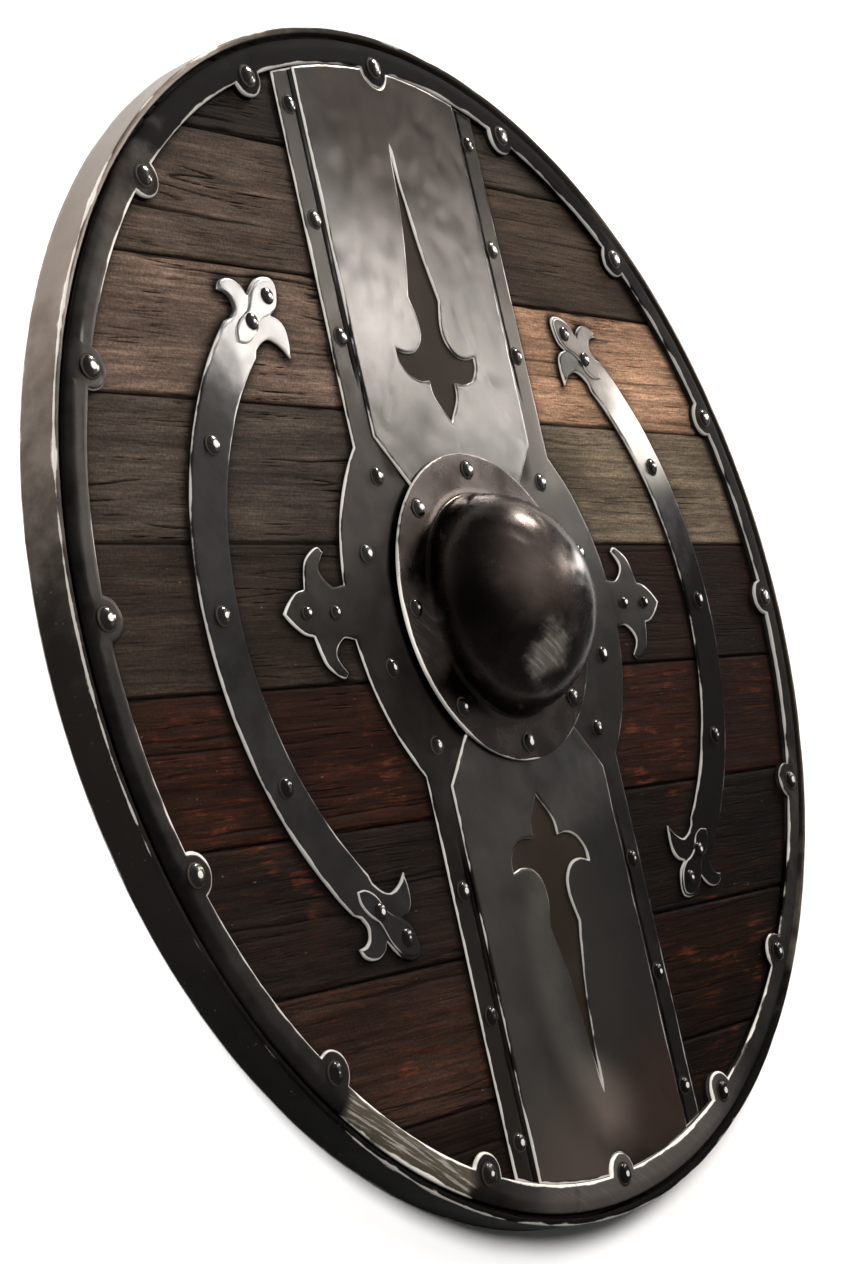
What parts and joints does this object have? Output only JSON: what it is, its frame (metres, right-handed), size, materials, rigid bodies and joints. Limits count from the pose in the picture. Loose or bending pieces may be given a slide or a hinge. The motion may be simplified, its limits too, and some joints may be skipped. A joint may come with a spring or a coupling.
{
  "type": "round wooden shield",
  "caption": "Round plank shield with a steel hoop and lobed rim, a wide riveted steel band, a domed boss over the hand grip and curved straps with fleur-de-lis ends.",
  "frame": {"origin": "on the floor, under the middle of the boss, at the hoop's back edge", "axes": "+Z out of the front, +Y towards the shield's top, along the band, +X along the planks"},
  "size_m": [0.76, 0.76, 0.0861],
  "materials": {
    "dark_steel": "blackened, worn bright on its edges",
    "worn_steel": "blackened and hammered, rubbed bright in places",
    "rivet_steel": "rubbed bright on top",
    "plank_wood": "weathered, deep grain, traces of red paint",
    "grip_wood": "worn smooth by the hand"
  },
  "bodies": {
    "root": {"edge_hoop": "dark_steel", "rim_plate": "dark_steel", "band_plate": "dark_steel", "panel_upper": "worn_steel", "panel_lower": "worn_steel", "boss": "worn_steel", "strap_left": "worn_steel", "strap_right": "worn_steel", "grip": "grip_wood", "plank_1": "plank_wood", "plank_2": "plank_wood", "plank_3": "plank_wood", "plank_4": "plank_wood", "plank_5_left": "plank_wood", "plank_5_right": "plank_wood", "plank_6": "plank_wood", "plank_7": "plank_wood", "plank_8": "plank_wood", "plank_9": "plank_wood", "boss_rivet_1": "rivet_steel", "boss_rivet_2": "rivet_steel", "boss_rivet_3": "rivet_steel", "boss_rivet_4": "rivet_steel", "boss_rivet_5": "rivet_steel", "boss_rivet_6": "rivet_steel", "boss_rivet_7": "rivet_steel", "boss_rivet_8": "rivet_steel", "rim_rivet_01": "rivet_steel", "rim_rivet_02": "rivet_steel", "rim_rivet_03": "rivet_steel", "rim_rivet_04": "rivet_steel", "rim_rivet_05": "rivet_steel", "rim_rivet_06": "rivet_steel", "rim_rivet_07": "rivet_steel", "rim_rivet_08": "rivet_steel", "rim_rivet_09": "rivet_steel", "rim_rivet_10": "rivet_steel", "rim_rivet_11": "rivet_steel", "rim_rivet_12": "rivet_steel", "rim_rivet_13": "rivet_steel", "rim_rivet_14": "rivet_steel", "rim_rivet_15": "rivet_steel", "rim_rivet_16": "rivet_steel", "strap_left_rivet_1": "rivet_steel", "strap_left_rivet_2": "rivet_steel", "strap_left_rivet_3": "rivet_steel", "strap_left_rivet_4": "rivet_steel", "strap_left_rivet_5": "rivet_steel", "strap_left_rivet_6": "rivet_steel", "strap_left_rivet_7": "rivet_steel", "strap_right_rivet_1": "rivet_steel", "strap_right_rivet_2": "rivet_steel", "strap_right_rivet_3": "rivet_steel", "strap_right_rivet_4": "rivet_steel", "strap_right_rivet_5": "rivet_steel", "strap_right_rivet_6": "rivet_steel", "strap_right_rivet_7": "rivet_steel"}
  },
  "joints": []
}
